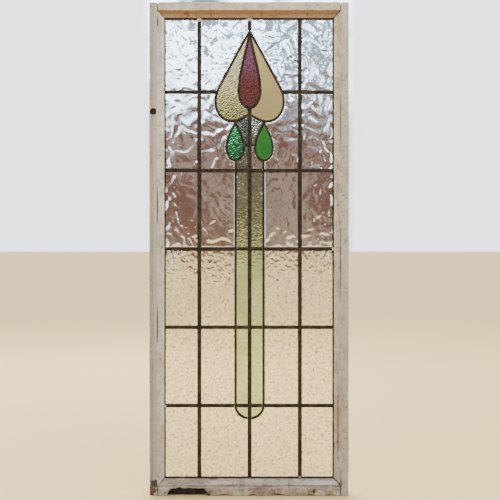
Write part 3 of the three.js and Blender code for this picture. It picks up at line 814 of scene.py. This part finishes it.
patina, given, result = new_group(
    "lead_patina",
    [("Place", "Vector", None), ("Dark", "Color", (0.006, 0.004, 0.003, 1)),
     ("Worn", "Color", (0.036, 0.021, 0.012, 1)), ("Bloom", "Float", 0.15)],
    [("Color", "Color"), ("Roughness", "Float"), ("Height", "Float")])
patches = ramp(patina, noise(patina, given["Place"], 55.0, 4.0), 0.42, 0.66)
base = blend(patina, patches, given["Dark"], given["Worn"])
dust = ramp(patina, noise(patina, given["Place"], 190.0, 4.0, 0.7), 0.55, 0.72)
dust = math_node(patina, "MULTIPLY", dust, given["Bloom"])
put(patina, result["Color"], blend(patina, dust, base, BLOOM_TINT))
put(patina, result["Roughness"], ramp(patina, patches, 0.0, 1.0, 0.62, 0.40))
put(patina, result["Height"], noise(patina, given["Place"], 700.0, 4.0, 0.65))

# %% Lead material
LEAD, tree, shader = new_material("weathered_lead")
skin = use_group(tree, "lead_patina", Place=object_place(tree))
dress(tree, shader, skin["Color"], skin["Roughness"], skin["Height"], 0.35, 0.0003)
shader.inputs["Metallic"].default_value = 0.0
shader.inputs["Specular IOR Level"].default_value = 0.3
print("patina nodes:", len(patina.nodes))

# %% [markdown]
# Each lead solid becomes one piece, with dents and solder of its own.

# %% Make every came
lead_names = sorted(n for n in NODES if "lead" in n)
cames = [make_lead(name, 900 + number * 7, LEAD) for number, name in enumerate(lead_names)]
print("lead pieces:", len(cames), "triangles:", triangle_count(cames))

# %% [markdown]
# ## The painted frame
# The frame is softwood under many coats of cream oil paint. Its arrises are rubbed round, its faces are
# slightly uneven, and paint has flaked where the wood moved. Each member is copied from its solid, given
# an even fine mesh, and then only ever cut back: long shallow waves along the grain, and scooped chips.


# %% Wood helpers
ALONG_GRAIN = 9.0
WEAR = 0.35 * MM
LONG_WAVE = 16 * MM
SHORT_WAVE = 7 * MM
CHIP_EDGE = 5 * MM


def even_copy(node_name, voxel):
    """Points, faces and normals of a copy of the node with an even mesh."""
    data = NODES[node_name].data.copy()
    work = bmesh.new()
    work.from_mesh(data)
    bmesh.ops.remove_doubles(work, verts=work.verts, dist=1e-6)
    work.to_mesh(data)
    work.free()
    holder = bpy.data.objects.new("holder", data)
    bpy.context.collection.objects.link(holder)
    remesh = holder.modifiers.new("even", "REMESH")
    remesh.mode = "VOXEL"
    remesh.voxel_size = voxel
    even = bpy.data.meshes.new_from_object(holder.evaluated_get(bpy.context.evaluated_depsgraph_get()))
    bpy.data.objects.remove(holder)
    bpy.data.meshes.remove(data)
    count = len(even.vertices)
    points = np.empty(count * 3)
    normals = np.empty(count * 3)
    even.vertices.foreach_get("co", points)
    even.vertex_normals.foreach_get("vector", normals)
    faces = [tuple(p.vertices) for p in even.polygons]
    bpy.data.meshes.remove(even)
    return points.reshape(-1, 3), faces, normals.reshape(-1, 3)


def make_member(node_name, material, voxel, along, seed, chips):
    """Replaces a frame member by its weathered copy."""
    points, faces, normals = even_copy(node_name, voxel)
    grain = np.ones(3)
    grain["xyz".index(along)] = ALONG_GRAIN
    cut = WEAR * wave_field(points, seed, LONG_WAVE, stretch=grain)
    cut += 0.6 * WEAR * wave_field(points, seed + 1, SHORT_WAVE, stretch=grain * 0.5 + 0.5)
    for x, y, z, size, deep in chips:
        near = np.linalg.norm((points - np.array([x, y, z]) * MM) / (grain ** 0.35), axis=1) / (size * MM)
        rough = 0.75 + 0.5 * wave_field(points, seed + 2, CHIP_EDGE)
        cut += deep * MM * np.clip(rough - near ** 2, 0, 1)
    moved = points - normals * cut[:, None]
    low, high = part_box(node_name)
    moved = np.clip(moved, np.array(low), np.array(high))
    return build_piece("wood_" + node_name, moved, faces, material, [node_name])


# %% [markdown]
# Old paint is many things at once: brush marks along the grain, a mottled chalky colour, hairline
# cracks that open across and along the wood, and flakes that leave a darker undercoat or bare wood.
# One group makes them all, and each member gives it its own grain direction, colours and amounts.

# %% Old paint group
BRUSH_MARKS = ((0.84, 0.83, 0.82), (1.08, 1.08, 1.08))
GRIME_TINT = (0.10, 0.075, 0.055)
PIT_TINT = (0.10, 0.065, 0.045)
CRACK_TINT = (0.07, 0.045, 0.03)

paint, given, result = new_group(
    "old_paint",
    [("Place", "Vector", None), ("Grain", "Vector", None),
     ("Paint", "Color", (0.5, 0.45, 0.4, 1)), ("Undercoat", "Color", (0.33, 0.26, 0.2, 1)),
     ("Wood", "Color", (0.16, 0.08, 0.04, 1)), ("Mottle", "Float", 0.4),
     ("Flaking", "Float", 0.3), ("Dirt", "Float", 0.2)],
    [("Color", "Color"), ("Roughness", "Float"), ("Height", "Float")])
place = given["Place"]
along = vector_node(paint, "MULTIPLY", place, given["Grain"])
mottle = ramp(paint, noise(paint, place, 45.0, 6.0, 0.7), 0.40, 0.62)
mottle = math_node(paint, "MULTIPLY", mottle, given["Mottle"])
coat = blend(paint, mottle, given["Paint"], given["Undercoat"])
brush = noise(paint, along, 420.0, 3.0, 0.6)
coat = blend(paint, 1.0, coat, blend(paint, brush, *BRUSH_MARKS), "MULTIPLY")
grime = ramp(paint, noise(paint, along, 75.0, 5.0, 0.7), 0.50, 0.72)
grime = math_node(paint, "MULTIPLY", grime, given["Dirt"])
coat = blend(paint, grime, coat, GRIME_TINT)
cells = add(paint, "ShaderNodeTexVoronoi", Vector=along, Scale=150.0)
cells.feature = "DISTANCE_TO_EDGE"
crack = ramp(paint, cells.outputs["Distance"], 0.0, 0.045, 1.0, 0.0)
cracked_here = ramp(paint, noise(paint, place, 24.0, 2.0), 0.52, 0.64)
crack = math_node(paint, "MULTIPLY", crack, math_node(paint, "MULTIPLY", cracked_here, 0.75))
flake_place = vector_node(paint, "MULTIPLY", along, (1.6, 1.6, 1.6))
flake_noise = noise(paint, flake_place, 95.0, 6.0, 0.62)
limit = math_node(paint, "SUBTRACT", 0.78, math_node(paint, "MULTIPLY", given["Flaking"], 0.22))
over = math_node(paint, "SUBTRACT", flake_noise, limit)
flake = ramp(paint, over, 0.0, 0.025)
deep_flake = ramp(paint, over, 0.03, 0.06)
grain_lines = noise(paint, along, 900.0, 2.0, 0.5)
bare_wood = blend(paint, grain_lines, given["Wood"], blend(paint, 0.5, given["Wood"], given["Undercoat"]))
under = blend(paint, deep_flake, given["Undercoat"], bare_wood)
coat = blend(paint, flake, coat, under)
pits = ramp(paint, noise(paint, place, 320.0, 3.0, 0.6), 0.59, 0.66, 0.0, 0.7)
coat = blend(paint, pits, coat, PIT_TINT)
split_noise = noise(paint, along, 130.0, 2.0, 0.4)
split = math_node(paint, "ABSOLUTE", math_node(paint, "SUBTRACT", split_noise, 0.5))
split = math_node(paint, "MULTIPLY", ramp(paint, split, 0.0, 0.008, 0.8, 0.0), cracked_here)
crack = math_node(paint, "MAXIMUM", crack, split)
put(paint, result["Color"], blend(paint, crack, coat, CRACK_TINT))
put(paint, result["Roughness"], ramp(paint, flake, 0.0, 1.0, 0.55, 0.85))
relief = math_node(paint, "MULTIPLY", brush, 0.25)
relief = math_node(paint, "SUBTRACT", relief, flake)
relief = math_node(paint, "SUBTRACT", relief, math_node(paint, "MULTIPLY", crack, 0.8))
put(paint, result["Height"], relief)
print("old paint nodes:", len(paint.nodes))

# %% [markdown]
# Damage and painted shade sit in certain places: a rotted stretch of the bottom rail, near black as
# painted shade in its hollow, rust that ran down from a pin, a bead stripped to orange wood. Each is a
# soft oval with a ragged edge, set down by its middle and its half size.

# %% Ragged patch group
patch, given, result = new_group(
    "ragged_patch",
    [("Place", "Vector", None), ("Middle", "Vector", None), ("Half size", "Vector", (0.01, 0.1, 0.01)),
     ("Raggedness", "Float", 0.6), ("Scale", "Float", 110.0)],
    [("Mask", "Float")])
offset = vector_node(patch, "SUBTRACT", given["Place"], given["Middle"])
reach = vector_node(patch, "LENGTH", vector_node(patch, "DIVIDE", offset, given["Half size"]))
rough = math_node(patch, "SUBTRACT", noise(patch, given["Place"], given["Scale"], 5.0, 0.65), 0.5)
rough = math_node(patch, "MULTIPLY", rough, math_node(patch, "MULTIPLY", given["Raggedness"], 4.0))
edge = math_node(patch, "ADD", reach, rough)
put(patch, result["Mask"], ramp(patch, edge, 0.85, 1.1, 1.0, 0.0))
print("patch nodes:", len(patch.nodes))

# %% [markdown]
# Each member has its own coat, since sun, rain and the painter's brush treated each in its own way, and
# the beads' coats also carry painted light and shade for the way each one faces the light. The patches
# then lie over the coat in their order. Low down the paint is painted darker and greyer: painted shade,
# as the light from above falls off towards the foot.

# %% Paint materials
PINKISH = (0.34, 0.255, 0.195)
BROWN_COAT = (0.22, 0.14, 0.085)
ORANGE_WOOD = (0.23, 0.138, 0.085)
DARK_WOOD = (0.09, 0.045, 0.022)
# Near black: painted shade for the deep hollows.
HOLLOW_SHADE = (0.006, 0.005, 0.004)
# The foot's tint is painted shade; the top keeps the coat as it is.
LOW_SHADE = (0.80, 0.80, 0.81)
UNSHADED = (1.0, 1.0, 1.0)
GRAIN_SQUEEZE = 0.14


def painted(name, along, wood, coat, undercoat, mottle, flaking, dirt, patches):
    """A painted member's material. Patches are (colour, middle, half size, raggedness), in mm."""
    material, tree, shader = new_material(name)
    place = object_place(tree)
    grain = [GRAIN_SQUEEZE if axis == along else 1.0 for axis in "xyz"]
    skin = use_group(tree, "old_paint", Place=place, Grain=grain, Paint=(*coat, 1), Undercoat=(*undercoat, 1),
                     Wood=(*wood, 1), Mottle=mottle, Flaking=flaking, Dirt=dirt)
    colour = skin["Color"]
    for tint, middle, half_size, raggedness in patches:
        mask = use_group(tree, "ragged_patch", Place=place, Middle=[v * MM for v in middle],
                         Half_size=[v * MM for v in half_size], Raggedness=raggedness)["Mask"]
        colour = blend(tree, mask, colour, tint)
    # Painted shade: the coat is multiplied darker and greyer towards the foot.
    height = add(tree, "ShaderNodeSeparateXYZ", Vector=place).outputs["Z"]
    painted_low_shade = blend(tree, ramp(tree, height, 0.0, 1.0), LOW_SHADE, UNSHADED)
    colour = blend(tree, 1.0, colour, painted_low_shade, "MULTIPLY")
    dress(tree, shader, colour, skin["Roughness"], skin["Height"], 0.6, 0.0008)
    return material


# %% [markdown]
# The patches follow the photographed marks: open joints, dirt along the glass, rust under a pin, painted
# shade, near black, in the rotted hollow and in a recess of the left stile, and bare spots low down. The
# colour comes first, then middle, half size and raggedness.

# %% Patches
GAP_DIRT = (0.055, 0.035, 0.025)
BLUE_GREY = (0.40, 0.395, 0.39)
WHITE_COAT = (0.66, 0.62, 0.56)
SLIME = (0.030, 0.038, 0.032)
RED_BROWN = (0.20, 0.05, 0.025)
CRACK = [(GAP_DIRT, (x, -19, z), (width, 5, height), 0.5)
         for x, z, width, height in ((-219.9, 1141, 1.2, 12), (-219.9, 700, 1.0, 42), (-219.9, 412, 1.1, 42),
                                     (219.9, 905, 0.8, 60), (219.9, 560, 0.8, 80))]
EDGE_LEFT = (GAP_DIRT, (-204.3, -4.5, 594), (0.7, 3, 2400), 0.9)
EDGE_RIGHT = (GAP_DIRT, (204.3, -4.5, 594), (1.2, 3, 2400), 0.75)
EDGE_FOOT = (GAP_DIRT, (0, -4.5, 39.7), (900, 3, 1.3), 0.6)
INNER_BAND = (BLUE_GREY, (-225.5, -21, 700), (4.5, 6, 1500), 0.3)
# Painted shade: the recess in the left stile is painted near black.
RECESS_SHADE = (HOLLOW_SHADE, (-231, -14, 925), (9, 9, 9), 0.15)
RUST_LINE = ((0.32, 0.17, 0.085), (214, -15, 175), (2.2, 8, 95), 0.5)
RUST_SPOT = ((0.16, 0.05, 0.02), (213, -15, 130), (3.0, 6, 4), 0.4)
MITRE_CHIP = (GAP_DIRT, (214, -16, 28), (6, 8, 4), 0.7)
# Rotted wood, painted near black as the shade in its hollow.
ROTTED_HOLLOW_SHADE = (HOLLOW_SHADE, (-148, -8, 8), (58, 30, 15), 0.3)
FOOT_MARKS = [((0.38, 0.29, 0.22), (-165, -14, 33), (40, 12, 6), 0.8),
              (WHITE_COAT, (178, -14, 31), (55, 12, 5), 0.6), (WHITE_COAT, (-60, -14, 31), (30, 12, 3), 0.6),
              (GAP_DIRT, (96, -16, 27), (0.9, 12, 13), 0.5), (GAP_DIRT, (88, -15, 37), (12, 10, 0.9), 0.5),
              (GAP_DIRT, (156, -21, 12), (4, 8, 6), 0.6)]
STILE_FOOT = [(DARK_WOOD, (-234, -12, 14), (13, 14, 16), 0.5), (SLIME, (-228, -20, 30), (10, 6, 9), 0.6),
              (RED_BROWN, (-237, -20, 12), (5, 6, 6), 0.6)]
STRIPPED = (ORANGE_WOOD, (8, -16, 1163), (900, 8, 4.6), 0.45)
DRIPS = [((0.20, 0.075, 0.025), (x, -14, 1160), (width, 10, 6), 0.5)
         for x, width in ((-150, 6), (-92, 3), (-128, 2), (30, 4), (140, 3))]
print("joint cracks:", len(CRACK), "marks at the foot:", len(FOOT_MARKS + STILE_FOOT), "drips:", len(DRIPS))

# %% [markdown]
# The coats differ in tint, in undercoat, in how mottled, flaked and dirty they are, and in their patches.
# The grain runs along the member: level in rails and in the beads beside them, upright in the rest.

# %% Coats
COATS = {
    "stile_left": ((0.42, 0.345, 0.285), PINKISH, 0.6, 0.4, 0.3,
                   (INNER_BAND, *CRACK[:3], RECESS_SHADE, *STILE_FOOT)),
    "stile_right": ((0.53, 0.495, 0.475), PINKISH, 0.5, 0.45, 0.25, CRACK[3:]),
    "rail_top": ((0.66, 0.60, 0.53), PINKISH, 0.5, 0.45, 0.25, ()),
    "rail_bottom": ((0.62, 0.54, 0.45), BROWN_COAT, 0.7, 0.7, 0.5, (*FOOT_MARKS, ROTTED_HOLLOW_SHADE)),
    # Partly painted light: this bead faces the light from the right, and its coat is made lighter than the
    # right one's.
    "bead_left": ((0.82, 0.79, 0.74), PINKISH, 0.5, 0.3, 0.2, (*CRACK[:3], EDGE_LEFT)),
    # Partly painted shade: this bead faces away from the light, and its coat is made darker.
    "bead_right": ((0.72, 0.64, 0.56), PINKISH, 0.6, 0.45, 0.3,
                   (*CRACK[3:], EDGE_RIGHT, RUST_LINE, RUST_SPOT, MITRE_CHIP)),
    # Partly painted shade: this bead faces down, and its coat is made dark; the stripped orange wood is its
    # own.
    "bead_top": ((0.33, 0.235, 0.175), (0.22, 0.135, 0.08), 0.6, 0.7, 0.4, (STRIPPED, *DRIPS)),
    "bead_bottom": ((0.62, 0.54, 0.44), BROWN_COAT, 0.6, 0.55, 0.45, (*FOOT_MARKS, EDGE_FOOT)),
}
GRAIN_AXIS = {name: "x" if name.endswith(("top", "bottom")) else "z" for name in COATS}
PAINT = {}
for name, coat in COATS.items():
    wood = ORANGE_WOOD if name == "bead_top" else DARK_WOOD
    PAINT[name] = painted("paint_" + name, GRAIN_AXIS[name], wood, *coat)
print("paint materials:", len(PAINT))

# %% [markdown]
# Chips sit on the arrises and round the broken corners. Each is x, y, z, size and depth, in mm. Members
# with sharp damage get a finer mesh.

# %% Make every member
STILE_CHIPS = ((-240, -21, 705, 9, 1.5), (-240, -21, 1010, 7, 1.2), (-240, -21, 388, 11, 1.6),
               (-240, -21, 60, 14, 3.0), (-221, -21, 820, 6, 0.9), (-240, -21, 205, 8, 1.4))
RIGHT_CHIPS = ((240, -21, 640, 8, 1.3), (240, -21, 250, 12, 1.8), (220, -21, 22, 10, 2.2),
               (240, -21, 30, 14, 2.6), (240, -21, 930, 8, 1.2), (240, -21, 1130, 7, 1.4))
FOOT_CHIPS = ((-60, -21, 2, 16, 2.2), (12, -21, 3, 12, 1.6), (75, -21, 2, 18, 2.4), (150, -21, 4, 12, 1.6),
              (96, -21, 20, 9, 1.6), (158, -21, 14, 8, 1.2))
BEAD_CHIPS = ((211, -9, 30, 7, 1.2), (219, -20, 150, 6, 1.0), (219, -20, 78, 6, 1.0))
CHIPS = {"stile_left": STILE_CHIPS, "stile_right": RIGHT_CHIPS, "rail_bottom": FOOT_CHIPS,
         "bead_right": BEAD_CHIPS}
MESH_SIZE = {"stile_left": 2.6, "stile_right": 2.6, "rail_top": 2.4, "rail_bottom": 2.0}
BEAD_MESH_SIZE = 1.8
members = []
for number, (name, material) in enumerate(PAINT.items()):
    voxel = MESH_SIZE.get(name, BEAD_MESH_SIZE) * MM
    chips = CHIPS.get(name, ())
    members.append(make_member(name, material, voxel, GRAIN_AXIS[name], 11 + number, chips))
print("members:", len(members), "triangles:", triangle_count(members))

# %% [markdown]
# ## Small marks of age
# The beads are pinned, and the old pins show as rusty heads. Dabs of putty cover the ends of some cames
# at the frame, and crumbs of wood are left where the bottom rail rotted away, near black as painted shade
# in the hollow.


# %% Blob helper
def make_blob(name, place, size, seed, material, lumps=0.35):
    """A small lumpy body, its place and half sizes in mm."""
    work = bmesh.new()
    bmesh.ops.create_icosphere(work, subdivisions=3, radius=1.0)
    ball = np.array([v.co[:] for v in work.verts])
    faces = [tuple(v.index for v in f.verts) for f in work.faces]
    work.free()
    ball *= (1 - lumps * wave_field(ball, seed, 1.3))[:, None]
    points = (ball * np.array(size) + np.array(place)) * MM
    return build_piece(name, points, faces, material, [])


# %% [markdown]
# Paint that was brushed over the long joint of stile and bead still bridges it, and has split open where
# the wood moved. Each skin is a thin closed strip along the joint, left out over the open stretches.

# %% Paint skins over the long joints
JOINT_X = 219.8
SKIN_SPAN = (24.0, 1166.0)
SKIN = ((221.3, -20.9), (220.3, -20.7), (219.4, -19.9), (218.2, -18.3))
SKIN_STEP = 3.0
SKIN_THICKNESS = 0.4
OPEN_JOINT = {-1: ((1128, 1153), (658, 742), (370, 454)), 1: ((845, 965), (480, 640), (20, 60))}


def make_skin(name, side, material, seed):
    """Old paint that still bridges the joint of stile and bead, and is split open in places."""
    heights = np.arange(*SKIN_SPAN, SKIN_STEP)
    spread = wave_field(np.column_stack([heights, heights * 0]), seed, 40.0)
    section = [*SKIN, *((x, y + SKIN_THICKNESS) for x, y in reversed(SKIN))]
    count = len(section)
    points = []
    faces = []
    below = None
    for z, width in zip(heights, 0.55 + 0.7 * spread):
        if any(low < z < high for low, high in OPEN_JOINT[side]):
            if below is not None:
                faces.append(tuple(range(below, below + count)))
            below = None
            continue
        start = len(points)
        points += [(side * (JOINT_X + (x - JOINT_X) * width) * MM, y * MM, z * MM) for x, y in section]
        if below is None:
            faces.append(tuple(range(start + count - 1, start - 1, -1)))
        else:
            for k in range(count):
                after = (k + 1) % count
                faces.append((below + k, below + after, start + after, start + k))
        below = start
    if below is not None:
        faces.append(tuple(range(below, below + count)))
    if side > 0:
        faces = [face[::-1] for face in faces]
    return build_piece(name, points, faces, material, [])


skins = [make_skin("paint_skin_left", -1, PAINT["bead_left"], 410),
         make_skin("paint_skin_right", 1, PAINT["bead_right"], 411)]
print("paint skins:", len(skins), "triangles:", triangle_count(skins))

# %% [markdown]
# Rust, putty and rotten wood each get a plain rough material; the rotten wood's near black is also painted
# shade.

# %% Materials of the marks
PIN_RUST, tree, shader = new_material("rusty_pin")
rusty = ramp(tree, noise(tree, object_place(tree), 900.0, 3.0), 0.35, 0.65)
dress(tree, shader, blend(tree, rusty, (0.02, 0.012, 0.008), (0.14, 0.05, 0.02)), 0.85)
PUTTY, tree, shader = new_material("old_putty")
lumpy = noise(tree, object_place(tree), 420.0, 4.0, 0.6)
dress(tree, shader, blend(tree, lumpy, (0.34, 0.29, 0.23), (0.66, 0.60, 0.52)), 0.9, lumpy, 0.6, 0.0006)
# Rotten wood, made near black as painted shade in the rotted hollow.
CRUMB_ROT_AND_SHADE, tree, shader = new_material("rotten_wood_and_shade")
fibres = noise(tree, vector_node(tree, "MULTIPLY", object_place(tree), (0.2, 1.0, 1.0)), 900.0, 3.0)
dress(tree, shader, blend(tree, fibres, (0.008, 0.006, 0.005), (0.035, 0.022, 0.014)), 1.0)
print("mark materials:", PIN_RUST.name, PUTTY.name, CRUMB_ROT_AND_SHADE.name)

# %% [markdown]
# Pins are placed by x, y and z, and dabs by their place and half sizes, in mm. The crumbs, dark rotten
# wood and painted shade, are scattered over the rotted stretch.

# %% Pins, putty and crumbs
PINS = ((-210, -17.4, 1165), (64, -19.6, 1167), (153.5, -19.8, 1167.6), (-60, -20.4, 17.5), (-12, -20.4, 15),
        (62, -20.4, 15), (115, -20.4, 15.5), (-214, -15.2, 820), (214, -15.2, 700), (-214, -15.2, 330))
PIN_SIZE = (1.5, 0.55, 1.5)
CRUMBS = 14
for number, place in enumerate(PINS):
    make_blob(f"pin_{number}", place, PIN_SIZE, 300 + number, PIN_RUST, 0.15)
DABS = ((-121, -3.2, 1149, 6.5, 1.6, 4.5), (1, -3.2, 1149.5, 8, 1.7, 4), (123, -3.0, 42, 3.5, 1.3, 2.0),
        (-203, -3.0, 214, 3, 1.2, 4), (203.5, -3.0, 594, 3, 1.2, 4.5))
for number, (x, y, z, *size) in enumerate(DABS):
    make_blob(f"putty_{number}", (x, y, z), size, 330 + number, PUTTY)
random = np.random.default_rng(77)
# Crumbs of rotten wood, near black as painted shade in the hollow.
for number in range(CRUMBS):
    place = (random.uniform(-190, -108), random.uniform(-9, -4.5), random.uniform(1.5, 15))
    size = (random.uniform(3, 9), random.uniform(0.8, 2), random.uniform(0.8, 1.8))
    make_blob(f"crumb_{number}", place, size, 360 + number, CRUMB_ROT_AND_SHADE, 0.6)
print("marks:", len(PINS), "pins,", len(DABS), "dabs of putty,", CRUMBS, "crumbs")

# %% [markdown]
# Last, the pieces and their triangles are counted.

# %% Pieces and triangles
print("pieces:", len(PIECES), "triangles in all:", triangle_count(PIECES))
